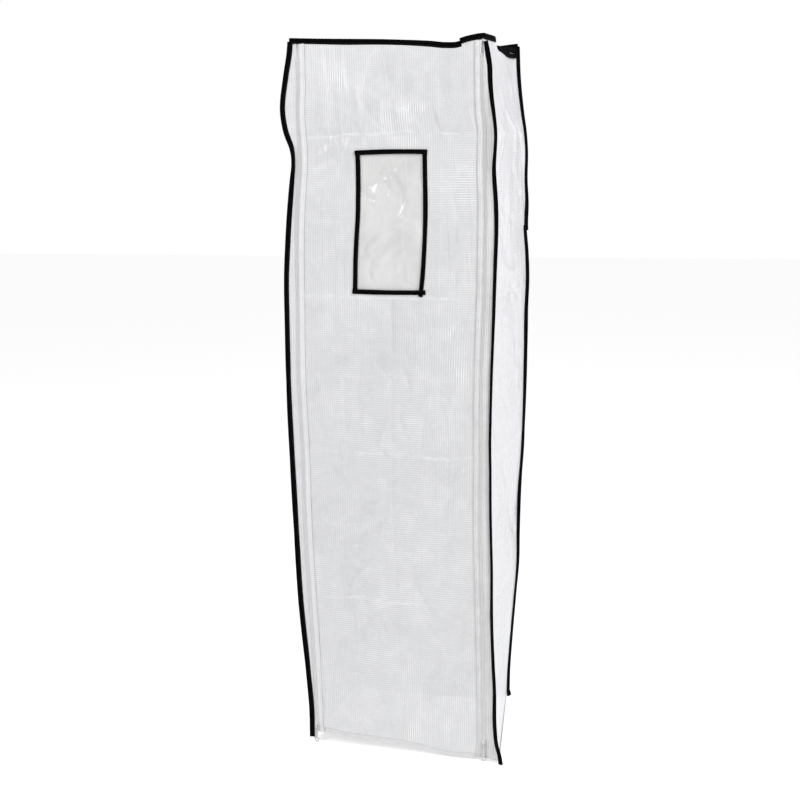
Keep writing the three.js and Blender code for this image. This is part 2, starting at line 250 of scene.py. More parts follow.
# Height of each film's lower edge, in mm over the floor
FRONT_HEM = through((-0.185, 27), (-0.16, 24), (-0.127, 20), (-0.022, 17), (0.061, 11), (0.097, 4),
                    (0.15, 2.5), (0.19, 6))
RIGHT_HEM = through((-0.155, 5), (-0.05, 9), (0.06, 14), (0.155, 22))
BACK_HEM = through((-0.22, 6), (-0.08, 2), (0.08, 9), (0.22, 20))
LEFT_HEM = through((-0.155, 13), (0, 4), (0.155, 6))


def chain(side, z):
    """Middle of a zip's closed chain at height z."""
    z = np.asarray(z, float)
    return np.stack([side * ZIP_X + CHAIN_SWAY[side](z) * MM, FRONT_Y + CHAIN_DEPTH(z) * MM, z],
                    axis=-1)


def ridge(off, tall, wide):
    """The height of a sharp ridge at a distance off its line."""
    return tall * np.exp(-np.abs(off) / wide)


def packing_creases(z):
    """The creases that stay in the film from the way that it was folded for packing, in mm."""
    out = np.zeros_like(z)
    for heights, rise, reach in ((PACKING_FOLDS, 3.2, 0.022), (HALF_FOLDS, 1.5, 0.012)):
        for i, fold in enumerate(heights):
            out += ridge(z - fold, rise if i % 2 else -rise, reach)
    return out


def front_relief(x, z):
    """How far the front film stands behind its plane, in m, fading out at the zips."""
    u = np.clip((x + ZIP_X) / (2 * ZIP_X), 0, 1)
    fade = smooth_step(u, 0.03, 0.16) * (1 - smooth_step(u, 0.84, 0.97))
    ends = smooth_step(z, 0, 0.05) * (1 - smooth_step(z, TOP - 0.10, TOP - 0.02))
    belly = -5 * np.sin(math.pi * u) * np.sin(math.pi * np.clip(z / TOP, 0, 1))
    waves = 1.6 * np.sin(2 * math.pi * (u * 1.3 + z * 0.8)) * np.sin(math.pi * z / 0.4)
    creases = crumple(x + 0.22, z, 0.44, TOP, 5, 190, 0.10, 3.4)
    hanging = ridge(TOP - 0.05 - z, 1.5, 0.12) \
        * np.sin(2 * math.pi * (x / HANGING_PITCH + 0.6 * np.sin(9 * z)))
    beside_zip = np.exp(-(ZIP_X - np.abs(x) - 0.02) / 0.03)
    puckers = 1.3 * np.sin(2 * math.pi * (z / PUCKER_PITCH + np.abs(x) / 0.08)) * beside_zip \
        * (0.5 + 0.5 * np.sin(2 * math.pi * z / 0.31))
    folds = packing_creases(z)
    for place, rise, reach in UPRIGHT_FOLDS:
        folds += ridge(x - place, rise, reach)
    flat = 1 - 0.75 * window_cover(x, z)
    return (belly + waves + (creases + folds + hanging + puckers) * flat) * fade * ends * MM


def window_cover(x, z):
    """1 on the window and its bindings, 0 well away from them."""
    inside_x = 1 - smooth_step(np.abs(x), WINDOW_HIGH.x, WINDOW_HIGH.x + 0.02)
    inside_z = smooth_step(z, WINDOW_LOW.z - 0.02, WINDOW_LOW.z) \
        * (1 - smooth_step(z, WINDOW_HIGH.z, WINDOW_HIGH.z + 0.02))
    return inside_x * inside_z


def front_place(x, z):
    """A point of the front film between the zips."""
    t = np.clip((x + ZIP_X) / (2 * ZIP_X), 0, 1)
    left, right = chain(-1, z), chain(1, z)
    here = mix(left, right, t[..., None])
    here[..., 1] += front_relief(x, z)
    here[..., 2] = z
    return here


# ---------------------------------------------------------------- meshes
def new_object(name, verts, faces, material, uvs=None, smooth=True):
    mesh = bpy.data.meshes.new(name)
    mesh.from_pydata([tuple(v) for v in verts], [], faces)
    if uvs is not None:
        layer = mesh.uv_layers.new(name="UVMap")
        index = np.empty(len(mesh.loops), np.int64)
        mesh.loops.foreach_get("vertex_index", index)
        layer.data.foreach_set("uv", np.asarray(uvs, np.float32)[index].ravel())
    for p in mesh.polygons:
        p.use_smooth = smooth
    mesh.materials.append(material)
    made = bpy.data.objects.new(name, mesh)
    bpy.context.scene.collection.objects.link(made)
    return made


def grid_object(name, points, uvs, material, keep=None):
    """A sheet from a grid of points, rows by columns, without the cells that keep leaves out."""
    rows, columns = points.shape[:2]
    faces = []
    for r in range(rows - 1):
        for c in range(columns - 1):
            if keep is None or keep(r, c):
                a = r * columns + c
                faces.append((a, a + 1, a + columns + 1, a + columns))
    verts, uv = points.reshape(-1, 3), uvs.reshape(-1, 2)
    used = sorted({i for f in faces for i in f})
    place = {old: new for new, old in enumerate(used)}
    faces = [tuple(place[i] for i in f) for f in faces]
    return new_object(name, verts[used], faces, material, uv[used])


def tape_section(width, thick, groove=0.0):
    """A flat tape folded over an edge: round at the fold, two lips at the other side."""
    half_w, half_t = width / 2, thick / 2
    side = [(-half_w, 0.72), (-half_w * 0.86, 1.0), (-half_w * 0.62, 0.94 - groove),
            (-half_w * 0.42, 1.04), (0, 1.08), (half_w * 0.5, 1.0), (half_w * 0.8, 0.82),
            (half_w * 0.95, 0.48)]
    upper = [(a, b * half_t) for a, b in side]
    lower = [(a, -b) for a, b in reversed(upper)]
    return np.array(upper + [(half_w, 0.0)] + lower)


def strip_mesh(centres, across, out, section, scale=None):
    """Vertices, faces and uvs of a closed strip with a section, swept along centres."""
    n, m = len(centres), len(section)
    width = np.ones(n) if scale is None else scale
    verts = (centres[:, None, :] + across[:, None, :] * (section[None, :, :1] * width[:, None, None])
             + out[:, None, :] * section[None, :, 1:])
    run = np.concatenate([[0], np.cumsum(np.linalg.norm(np.diff(centres, axis=0), axis=1))])
    around = np.concatenate([[0], np.cumsum(np.linalg.norm(np.diff(section, axis=0), axis=1))])
    uv = np.stack(np.broadcast_arrays(around[None, :], run[:, None]), axis=-1)
    faces = [(r * m + c, r * m + (c + 1) % m, (r + 1) * m + (c + 1) % m, (r + 1) * m + c)
             for r in range(n - 1) for c in range(m)]
    faces.append(tuple(range(m - 1, -1, -1)))
    faces.append(tuple((n - 1) * m + c for c in range(m)))
    return verts.reshape(-1, 3), faces, uv.reshape(-1, 2)


def prism_faces(n):
    """The faces between two rings of n points, and both ends."""
    faces = [(i, (i + 1) % n, n + (i + 1) % n, n + i) for i in range(n)]
    return faces + [tuple(range(n - 1, -1, -1)), tuple(range(n, 2 * n))]


def turned(faces):
    """The same faces, seen from their other side."""
    return [tuple(reversed(f)) for f in faces]


class Pieces:
    """Collects closed bodies that make one piece."""

    def __init__(self):
        self.verts, self.faces, self.uvs, self.marks = [], [], [], []
        self.count = 0

    def add(self, verts, faces, uvs=None, mark=0):
        self.verts.append(np.asarray(verts, float))
        self.faces += [tuple(i + self.count for i in f) for f in faces]
        self.marks += [mark] * len(faces)
        self.uvs.append(np.zeros((len(verts), 2)) if uvs is None else np.asarray(uvs))
        self.count += len(verts)

    def make(self, name, *materials):
        made = new_object(name, np.concatenate(self.verts), self.faces, materials[0],
                          np.concatenate(self.uvs))
        for m in materials[1:]:
            made.data.materials.append(m)
        made.data.polygons.foreach_set("material_index", self.marks)
        made.data.update()
        return made


def add_stitches(pieces, line, out, mark, pitch=4.2 * MM, length=3.0 * MM, thick=0.35 * MM):
    """A row of stitches along a line, each a slim spindle that stands a little proud."""
    step = np.linalg.norm(np.diff(line, axis=0), axis=1)
    run = np.concatenate([[0], np.cumsum(step)])
    starts = np.arange(pitch, run[-1] - pitch, pitch)
    for s in starts:
        a, b = (np.array([np.interp(q, run, line[:, k]) for k in range(3)])
                for q in (s, s + length))
        up = np.array([np.interp(s, run, out[:, k]) for k in range(3)])
        along = unit(b - a)
        side = unit(np.cross(along, up))
        middle = (a + b) / 2
        verts = [a, b] + [middle + d * thick for d in (side, up, -side, -up)]
        faces = [(0, 2 + i, 2 + (i + 1) % 4) for i in range(4)]
        faces += [(1, 2 + (i + 1) % 4, 2 + i) for i in range(4)]
        pieces.add(verts, faces, mark=mark)


# ---------------------------------------------------------------- materials
def node(tree, kind, **settings):
    """A new node. A setting that starts with in_ is a socket's value, with _ for a blank."""
    made = tree.nodes.new(kind)
    for key, value in settings.items():
        if key.startswith("in_"):
            made.inputs[key[3:].replace("_", " ")].default_value = value
        else:
            setattr(made, key, value)
    return made


def new_material(name, **sockets):
    material = bpy.data.materials.new(name)
    material.use_nodes = True
    shader = material.node_tree.nodes["Principled BSDF"]
    for key, value in sockets.items():
        shader.inputs[key.replace("_", " ")].default_value = value
    return material, material.node_tree, shader


def math_node(tree, operation, *values):
    """The output of a Math node; each value is a number or a socket."""
    made = node(tree, "ShaderNodeMath", operation=operation)
    for socket, value in zip(made.inputs, values):
        if isinstance(value, (int, float)):
            socket.default_value = value
        else:
            tree.links.new(value, socket)
    return made.outputs[0]


def times(tree, a, b):
    return math_node(tree, "MULTIPLY", a, b)


def plus(tree, a, b):
    return math_node(tree, "ADD", a, b)


def most(tree, *values):
    """The largest of some values."""
    total = values[0]
    for value in values[1:]:
        total = math_node(tree, "MAXIMUM", total, value)
    return total


def gap(tree, a, b):
    """How far two values lie apart."""
    return math_node(tree, "ABSOLUTE", math_node(tree, "SUBTRACT", a, b))


def remap(tree, value, low, high, from_low=0.0, from_high=1.0, kind="LINEAR"):
    """The range from_low to from_high moved to low to high, and held at both ends."""
    made = node(tree, "ShaderNodeMapRange", interpolation_type=kind, in_From_Min=from_low,
                in_From_Max=from_high, in_To_Min=low, in_To_Max=high)
    tree.links.new(value, made.inputs["Value"])
    return made.outputs[0]


def uv_parts(tree):
    uv = node(tree, "ShaderNodeUVMap", uv_map="UVMap")
    parts = tree.nodes.new("ShaderNodeSeparateXYZ")
    tree.links.new(uv.outputs[0], parts.inputs[0])
    return parts.outputs[0], parts.outputs[1]


def lines(tree, value, pitch, share):
    """1 on evenly spaced lines that take a share of the pitch, 0 between them, soft edges."""
    place = math_node(tree, "FRACT", math_node(tree, "DIVIDE", value, pitch))
    return remap(tree, gap(tree, place, 0.5), 1, 0, 0.2 * share, 0.8 * share, "SMOOTHSTEP")


def noise(tree, scale, detail, roughness, stretch=None, turn=0, shift=(0, 0, 0)):
    """Noise in the object's own coordinates, which can be stretched, turned about Y and shifted."""
    place = tree.nodes.new("ShaderNodeTexCoord").outputs["Object"]
    if stretch:
        mapping = node(tree, "ShaderNodeMapping", in_Location=shift, in_Scale=stretch,
                       in_Rotation=(0, math.radians(turn), 0))
        tree.links.new(place, mapping.inputs[0])
        place = mapping.outputs[0]
    made = node(tree, "ShaderNodeTexNoise", in_Scale=scale, in_Detail=detail, in_Roughness=roughness)
    tree.links.new(place, made.inputs["Vector"])
    return made.outputs["Fac"]


def bump(tree, shader, height, strength, distance):
    made = node(tree, "ShaderNodeBump", in_Strength=strength, in_Distance=distance)
    tree.links.new(height, made.inputs["Height"])
    tree.links.new(made.outputs[0], shader.inputs["Normal"])


def paint(tree, shader, factor, a, b):
    """Colour a where the factor is 0, colour b where it is 1."""
    made = node(tree, "ShaderNodeMix", data_type="RGBA")
    tree.links.new(factor, made.inputs["Factor"])
    made.inputs["A"].default_value = (*a, 1)
    made.inputs["B"].default_value = (*b, 1)
    tree.links.new(made.outputs["Result"], shader.inputs["Base Color"])


CREASE_STRETCH = (1, 0.6, 0.16)  # creases are long along Z before they are turned
CREASE_WIDE = 0.022  # half the width of a crease, as a part of the noise's range
FOLD_STRAY = 14 * MM  # how far a packing fold strays from a straight line
NET_PITCH = 5 * MM
UPRIGHT_SHARE, LEVEL_SHARE = 0.26, 0.30  # how much of the pitch a thread takes
CREASE_HIGHLIGHT_FROM, CREASE_HIGHLIGHT_FULL = 1.22, 1.5  # the creases' painted highlight streaks rise between these heights


def crinkle(tree, scale, angles=(28, -35, 75)):
    """Long thin creases such as stay in crumpled film, in a few directions: 1 on a crease."""
    creases = []
    for i, angle in enumerate(angles):
        wave = noise(tree, scale, 1.5, 0.4, CREASE_STRETCH, angle, (3.1 * i, 0, 1.7 * i))
        patches = remap(tree, noise(tree, 5 + 2 * i, 2, 0.5), 0, 1, 0.48, 0.62)
        creases.append(times(tree, remap(tree, gap(tree, wave, 0.5), 1, 0, 0, CREASE_WIDE), patches))
    return most(tree, *creases)


def fold_marks(tree, v):
    """The lines along which the film was folded for packing: whitened, and not quite straight."""
    stray = remap(tree, noise(tree, 8, 4, 0.6), -FOLD_STRAY, FOLD_STRAY, 0.2, 0.8)
    warped = plus(tree, v, stray)
    marks = [remap(tree, gap(tree, warped, height), peak, 0, 0, wide)
             for heights, wide, peak in ((PACKING_FOLDS, 6 * MM, 0.95), (HALF_FOLDS, 4 * MM, 0.55))
             for height in heights]
    return times(tree, most(tree, *marks), remap(tree, noise(tree, 30, 4, 0.7), 0.1, 1.0, 0.38, 0.62))


def net_film(name, film, yarn, film_alpha):
    """Milky film with a woven net inside: threads every few millimetres both ways."""
    material, tree, shader = new_material(name, IOR=1.5, Specular_IOR_Level=0.5)
    u, v = uv_parts(tree)
    cloud = noise(tree, 9, 4, 0.6)
    patch = noise(tree, 5, 2, 0.5, (1, 1, 0.7))
    upright = times(tree, lines(tree, u, NET_PITCH, UPRIGHT_SHARE),
                    remap(tree, patch, 0.10, 1.0, 0.40, 0.64))
    level = times(tree, lines(tree, v, NET_PITCH, LEVEL_SHARE),
                  remap(tree, patch, 1.0, 0.15, 0.36, 0.60))
    net = most(tree, upright, level)
    sparkle = plus(tree, remap(tree, cloud, 0.15, 0.6, 0.38, 0.62),
                   remap(tree, noise(tree, 34, 4, 0.7), 0.0, 0.4, 0.45, 0.65))
    marks, creases = fold_marks(tree, v), crinkle(tree, 20)
    # Painted highlight: the crease lines are whitened faintly low down and much more near the top, standing
    # in for the glossy streaks on the film's upper creases.
    highlight_near_top = remap(tree, v, 0.05, 0.36, CREASE_HIGHLIGHT_FROM, CREASE_HIGHLIGHT_FULL)
    white = most(tree, times(tree, net, sparkle), times(tree, creases, highlight_near_top),
                 times(tree, marks, 0.46))
    paint(tree, shader, white, film, yarn)
    tree.links.new(remap(tree, white, film_alpha, 1.0), shader.inputs["Alpha"])
    tree.links.new(remap(tree, cloud, 0.22, 0.42, 0.3, 0.7), shader.inputs["Roughness"])
    fine = noise(tree, 70, 5, 0.6, (1, 1, 0.45))
    height = plus(tree, plus(tree, times(tree, net, 0.12), fine),
                  times(tree, plus(tree, creases, marks), 0.8))
    bump(tree, shader, height, 0.5, 1.8 * MM)
    return material


def clear_pane():
    """Plain clear film, glossy and slightly yellow, with soft wrinkles."""
    material, tree, shader = new_material("clear_film_looks", IOR=1.5, Alpha=0.72, Roughness=0.16,
                                          Coat_Weight=0.12, Coat_Roughness=0.08)
    cloud = remap(tree, noise(tree, 14, 4, 0.55), 0, 1, 0.35, 0.65)
    paint(tree, shader, cloud, (0.70, 0.70, 0.695), (0.79, 0.79, 0.785))
    height = plus(tree, noise(tree, 26, 6, 0.6, (1, 1, 0.6)),
                  times(tree, crinkle(tree, 24, (20, -30)), 0.4))
    bump(tree, shader, height, 0.5, 3 * MM)
    return material


def black_tape():
    """Woven black binding tape: fine ribs across, matt, with a little lint."""
    material, tree, shader = new_material("black_binding_looks", Roughness=0.82,
                                          Specular_IOR_Level=0.03)
    u, v = uv_parts(tree)
    ribs = plus(tree, lines(tree, v, 0.9 * MM, 0.6), times(tree, lines(tree, u, 1.4 * MM, 0.5), 0.5))
    lint = remap(tree, noise(tree, 240, 3, 0.7), 0, 1, 0.45, 0.75)
    paint(tree, shader, lint, (0.0008, 0.0008, 0.0009), (0.003, 0.003, 0.0032))
    bump(tree, shader, ribs, 0.35, 0.25 * MM)
    return material


def white_tape(name, dark, light):
    """Woven zip tape: a herringbone of fine white yarns."""
    material, tree, shader = new_material(name, Roughness=0.8, Sheen_Weight=0.15)
    u, v = uv_parts(tree)
    slant = plus(tree, math_node(tree, "PINGPONG", u, 2.2 * MM), v)
    weave = lines(tree, slant, 0.8 * MM, 0.5)
    cords = lines(tree, u, 4.4 * MM, 0.22)
    cloud = remap(tree, noise(tree, 40, 3, 0.6), 0, 1, 0.3, 0.7)
    paint(tree, shader, most(tree, times(tree, weave, cloud), cords), dark, light)
    bump(tree, shader, plus(tree, weave, cords), 0.4, 0.3 * MM)
    return material


def zip_plastic():
    material, tree, shader = new_material("zip_coil_looks", Roughness=0.35)
    paint(tree, shader, noise(tree, 300, 2, 0.5), (0.74, 0.74, 0.745), (0.88, 0.88, 0.885))
    bump(tree, shader, noise(tree, 900, 2, 0.5), 0.15, 0.1 * MM)
    return material


def zip_metal():
    """White painted die-cast metal, with painted shade that darkens it to grey along its edges."""
    material, tree, shader = new_material("zip_metal_looks", Metallic=0.25)
    geometry = tree.nodes.new("ShaderNodeNewGeometry")
    # Painted shade: the convex edges are coloured dark grey, standing in for the shade on the rounded
    # outlines.
    edge_shade = remap(tree, geometry.outputs["Pointiness"], 0, 1, 0.5, 0.58)
    paint(tree, shader, edge_shade, (0.66, 0.66, 0.65), (0.36, 0.36, 0.37))
    tree.links.new(remap(tree, noise(tree, 160, 4, 0.6), 0.22, 0.42), shader.inputs["Roughness"])
    bump(tree, shader, noise(tree, 700, 3, 0.6), 0.2, 0.15 * MM)
    return material


def thread(name, colour):
    material, tree, shader = new_material(name, Roughness=0.6)
    paint(tree, shader, noise(tree, 900, 2, 0.5), tuple(0.8 * c for c in colour), colour)
    return material


FRONT_FILM = net_film("net_film_looks", (0.575, 0.578, 0.587), (0.86, 0.86, 0.87), 0.92)
# The side walls get a copy of the net film that is painted lighter and bluer than the front, as painted
# light falling from the right.
LIT_SIDE_FILM = net_film("net_film_side_lit_looks", (0.72, 0.72, 0.75), (0.88, 0.88, 0.90), 0.9)
PANE_FILM = clear_pane()
BLACK = black_tape()
# One white zip tape in lit and shaded copies: the left flap's tape is the lit copy. Both right tapes are
# darker as painted shade, and the left jamb's tape is darker as painted shade from the coil.
ZIP_TAPE_LIT_AND_SHADED = {(-1, "jamb"): white_tape("left_jamb_tape_shaded_looks", (0.56, 0.56, 0.58), (0.69, 0.69, 0.71)),
            (-1, "flap"): white_tape("left_flap_tape_lit_looks", (0.65, 0.65, 0.67), (0.79, 0.79, 0.805)),
            (1, "jamb"): white_tape("right_jamb_tape_shaded_looks", (0.54, 0.54, 0.545), (0.76, 0.76, 0.76)),
            (1, "flap"): white_tape("right_flap_tape_shaded_looks", (0.52, 0.52, 0.525), (0.74, 0.74, 0.74))}
HEM_TAPE = white_tape("hem_looks", (0.56, 0.56, 0.57), (0.70, 0.70, 0.71))
COIL = zip_plastic()
METAL = zip_metal()
BLACK_THREAD = thread("black_thread_looks", (0.02, 0.02, 0.02))
WHITE_THREAD = thread("white_thread_looks", (0.85, 0.85, 0.83))


def finish_piece(piece, body, slot, *nodes):
    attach(piece, body)
    if nodes:
        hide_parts(*nodes)
    return piece


def finish_over_fold(piece, slot, *nodes):
    """A piece that is on the cover above the fold line and runs on below it on the flap: its transform is
    baked in, its CAD parts are hidden, and it is tied to no body.
    """
    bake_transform(piece)
    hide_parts(*nodes)
    return piece


# ---------------------------------------------------------------- film panels
CELL, FRONT_CELL = 4 * MM, 3 * MM


def top_height(droop, place):
    return TOP_TAPE_Z - TAPE_WIDTH / 2 + EDGE_IN_TAPE + droop(place) * MM


def front_top(x):
    """The height of the front film's upper edge, at a real place between the two corners' seams."""
    left, right = (corner.seam(np.array(SEAM_TOP))[0] for corner in (FRONT_LEFT, FRONT_RIGHT))
    return top_height(FRONT_DROOP, mix(-CORNER_X, CORNER_X, (x - left) / (right - left)))


def make_front_film():
    """The film between the zips. It runs across the fold line, so it is one sheet above and below it."""
    reach = FLAP_TAPE[1].x - (FLAP_TAPE[1].x - FLAP_TAPE[0].x) * 0.45
    under_tape = WINDOW_TAPE - 1 * MM
    across, up = np.linspace(-reach, reach, int(2 * ZIP_X / FRONT_CELL)), int(TOP / FRONT_CELL)
    x, share = np.meshgrid(across, np.linspace(0, 1, up))
    z = mix(FRONT_HEM(x) * MM, front_top(x), share)

    def keep(r, c):
        """Leaves out the cells in the window's opening."""
        cx, cz = (x[r, c] + x[r, c + 1]) / 2, (z[r, c] + z[r + 1, c]) / 2
        return not (abs(cx) < WINDOW_HIGH.x - under_tape
                    and WINDOW_LOW.z + under_tape < cz < WINDOW_HIGH.z - under_tape)
    film = grid_object("front_film", front_place(x, z), np.stack([x, z], axis=-1), FRONT_FILM, keep)
    return finish_over_fold(film, "net_film", "flap_panel", "header_panel")


def make_header_film(side):
    """The film above a zip, from the corner's seam to behind the edge of the middle film."""
    corner = CORNERS[f"front_{SIDE_NAMES[side]}"]
    share, up = np.meshgrid(np.linspace(0, 1, 12), np.linspace(0, 1, 18))
    inner = np.full_like(share, side * (FLAP_TAPE[0].x - 4 * MM))
    z = mix(COIL_TOP + 1.5 * MM, front_top(mix(inner, side * CORNER_X, share)), up)
    points = mix(front_place(inner, z), corner.seam(z), share[..., None])
    points[..., 1] += 1.2 * MM
    uvs = np.stack([points[..., 0], z], axis=-1)
    film = grid_object(f"{SIDE_NAMES[side]}_header_film", points, uvs, FRONT_FILM)
    return finish_piece(film, "cover", "net_film")


def wall_points(a, b, hem, droop, along, relief):
    """A panel between the seams of two corners, from its hem up to its edge in the top tape."""
    span = np.linspace(0, 1, int(np.linalg.norm(a.centre(0.5) - b.centre(0.5)) / CELL))
    share, up = np.meshgrid(span, np.linspace(0, 1, int(TOP / CELL)))
    place = mix(*along, share)
    z = mix(hem(place) * MM, top_height(droop, place), up)
    here = mix(a.seam(z), b.seam(z), share[..., None])
    ends = smooth_step(share, 0, 0.12) * (1 - smooth_step(share, 0.88, 1))
    middle_a, middle_b = a.seam(0.8), b.seam(0.8)
    normal = unit(np.cross(middle_b - middle_a, np.array([0, 0, 1.0])))
    here += normal * (relief(share, z) * ends)[..., None]
    return here, np.stack([share * np.linalg.norm(middle_a - middle_b), z], axis=-1)


def wall_relief(seed, belly, width):
    def relief(share, z):
        edge = smooth_step(z, 0, 0.06) * (1 - smooth_step(z, TOP - 0.10, TOP - 0.02))
        out = belly * np.sin(math.pi * share) * np.sin(math.pi * np.clip(z / TOP, 0, 1))
        out += 2.2 * np.sin(2 * math.pi * (share * 1.2 + z * 0.9 + seed)) * np.sin(math.pi * z / 0.37)
        out += crumple(share * width, z, width, TOP, seed, 190, 0.09, 4) + packing_creases(z)
        return out * edge * MM
    return relief


def make_walls():
    depth = BACK_Y - FRONT_Y
    rows = (
        ("right_side", FRONT_RIGHT, REAR_RIGHT, RIGHT_HEM, right_droop, (FRONT_Y, BACK_Y),
         LIT_SIDE_FILM, (3, 3, depth)),
        ("left_side", REAR_LEFT, FRONT_LEFT, LEFT_HEM, LEFT_DROOP, (BACK_Y, FRONT_Y),
         LIT_SIDE_FILM, (4, 3, depth)),
        ("back", REAR_RIGHT, REAR_LEFT, BACK_HEM, BACK_DROOP, (CORNER_X, -CORNER_X),
         FRONT_FILM, (7, 4, 2 * CORNER_X)),
    )
    made = {}
    for name, a, b, hem, droop, along, looks, relief in rows:
        points, uvs = wall_points(a, b, hem, droop, along, wall_relief(*relief))
        film = grid_object(f"{name}_film", points, uvs, looks)
        made[name] = (finish_piece(film, "cover", "net_film", f"{name}_panel"), points)
    return made


def roof_edge(which, t):
    """A point of the roof's edge: t runs left to right or front to back."""
    a, b, droop, along = {
        "front": (FRONT_LEFT, FRONT_RIGHT, FRONT_DROOP, (-CORNER_X, CORNER_X)),
        "back": (REAR_LEFT, REAR_RIGHT, BACK_DROOP, (-CORNER_X, CORNER_X)),
        "left": (FRONT_LEFT, REAR_LEFT, LEFT_DROOP, (FRONT_Y, BACK_Y)),
        "right": (FRONT_RIGHT, REAR_RIGHT, right_droop, (FRONT_Y, BACK_Y)),
    }[which]
    t = np.asarray(t, float)
    here = mix(a.seam(SEAM_TOP), b.seam(SEAM_TOP), t[..., None])
    here[..., 2] = top_height(droop, mix(*along, t))
    return here


def make_roof():
    """The roof film, hung between its four edges and sagging in the middle."""
    s, t = np.meshgrid(np.linspace(0, 1, int(2 * CORNER_X / CELL)),
                       np.linspace(0, 1, int((BACK_Y - FRONT_Y) / CELL)))
    s3, t3 = s[..., None], t[..., None]
    front, back, left, right = (roof_edge(which, place) for which, place in
                                (("front", s), ("back", s), ("left", t), ("right", t)))
    ends = [roof_edge(which, place) for which in ("front", "back") for place in (0.0, 1.0)]
    corners = ((1 - s3) * (1 - t3) * ends[0] + s3 * (1 - t3) * ends[1]
               + (1 - s3) * t3 * ends[2] + s3 * t3 * ends[3])
    points = mix(front, back, t3) + mix(left, right, s3) - corners
    inner = np.clip(np.minimum(np.minimum(s, 1 - s) / 0.1, np.minimum(t, 1 - t) / 0.1), 0, 1)
    sag = -16 * np.sin(math.pi * s) * np.sin(math.pi * t)
    wrinkles = crumple(s * ROOF_WIDE, t * ROOF_DEEP, ROOF_WIDE, ROOF_DEEP, 21, 60, 0.08, 4)
    points[..., 2] += (sag + wrinkles * inner - 1) * MM
    uvs = np.stack([s * ROOF_WIDE, t * ROOF_DEEP], axis=-1)
    film = grid_object("roof_film", points, uvs, FRONT_FILM)
    return finish_piece(film, "cover", "net_film", "top_panel")


# ---------------------------------------------------------------- black bindings
def wobble(n, seed, size):
    """Smooth small unevenness along a tape."""
    r = np.random.default_rng(seed)
    knots = r.normal(0, size, max(4, n // 9))
    return np.interp(np.linspace(0, len(knots) - 1, n), np.arange(len(knots)), knots)


def bound_edge(pieces, centres, across, seed, width=TAPE_WIDTH, thick=TAPE_THICK):
    """One length of folded tape with its row of stitches, both sides."""
    n = len(centres)
    along = unit(np.gradient(centres, axis=0))
    across = unit(across - along * np.sum(across * along, axis=1, keepdims=True))
    out = unit(np.cross(along, across))
    centres = centres + out * wobble(n, seed, 0.25 * MM)[:, None]
    scale = 1 + wobble(n, seed + 1, 0.03)
    pieces.add(*strip_mesh(centres, across, out, tape_section(width, thick, 0.14), scale))
    for face in (1, -1):
        line = centres - across * width * 0.31 * scale[:, None] + out * face * thick * 0.44
        add_stitches(pieces, line, out * face, 1)


def make_binding(name, body, *lengths, node_name=None, **size):
    """A black tape of one or more lengths, each with its centres, its way across and a seed."""
    pieces = Pieces()
    for centres, across, seed, *wide in lengths:
        bound_edge(pieces, centres, across, seed, *wide, **size)
    made = pieces.make(f"{name}_tape", BLACK, BLACK_THREAD)
    return finish_piece(made, body, "black_binding", node_name or f"{name}_binding")


def corner_line(corner, low, high, step=6 * MM):
    z = np.linspace(low, high, int((high - low) / step) + 2)
    return corner.centre(z), corner.outward(z)


def make_corner_bindings():
    spans = {"front_left": (12 * MM, TOP - 8 * MM), "front_right": (2 * MM, TOP - 22 * MM),
             "rear_left": (3 * MM, TOP - 8 * MM)}
    for i, (name, (low, high)) in enumerate(spans.items()):
        make_binding(f"{name}_corner", "cover", (*corner_line(CORNERS[name], low, high), 30 + 3 * i))
    # The rear right one has two lengths; the lower one ends in a small hook
    foot = 24 * MM
    upper, upper_across = corner_line(REAR_RIGHT, REAR_JOIN_Z, TOP - 10 * MM)
    shift = (1 - smooth_step(upper[:, 2], REAR_JOIN_Z, REAR_JOIN_Z + 0.12)) * 4.5 * MM
    lower, lower_across = corner_line(REAR_RIGHT, foot, REAR_JOIN_Z + 12 * MM)
    hook = (1 - smooth_step(lower[:, 2], foot, foot + 16 * MM)) * 6 * MM
    make_binding("rear_right_corner", "cover",
                 (upper + upper_across * shift[:, None], upper_across, 51),
                 (lower + lower_across * hook[:, None] * [1, 0.4, 0], lower_across, 54))


def top_line(which, t0, t1, lift=0.0, step=6 * MM):
    a, b = roof_edge(which, np.array(t0)), roof_edge(which, np.array(t1))
    t = np.linspace(t0, t1, int(np.linalg.norm(b - a) / step) + 2)
    centres = roof_edge(which, t)
    centres[:, 2] += TAPE_WIDTH / 2 - EDGE_IN_TAPE + lift
    return centres, np.tile([0, 0, 1.0], (len(t), 1))


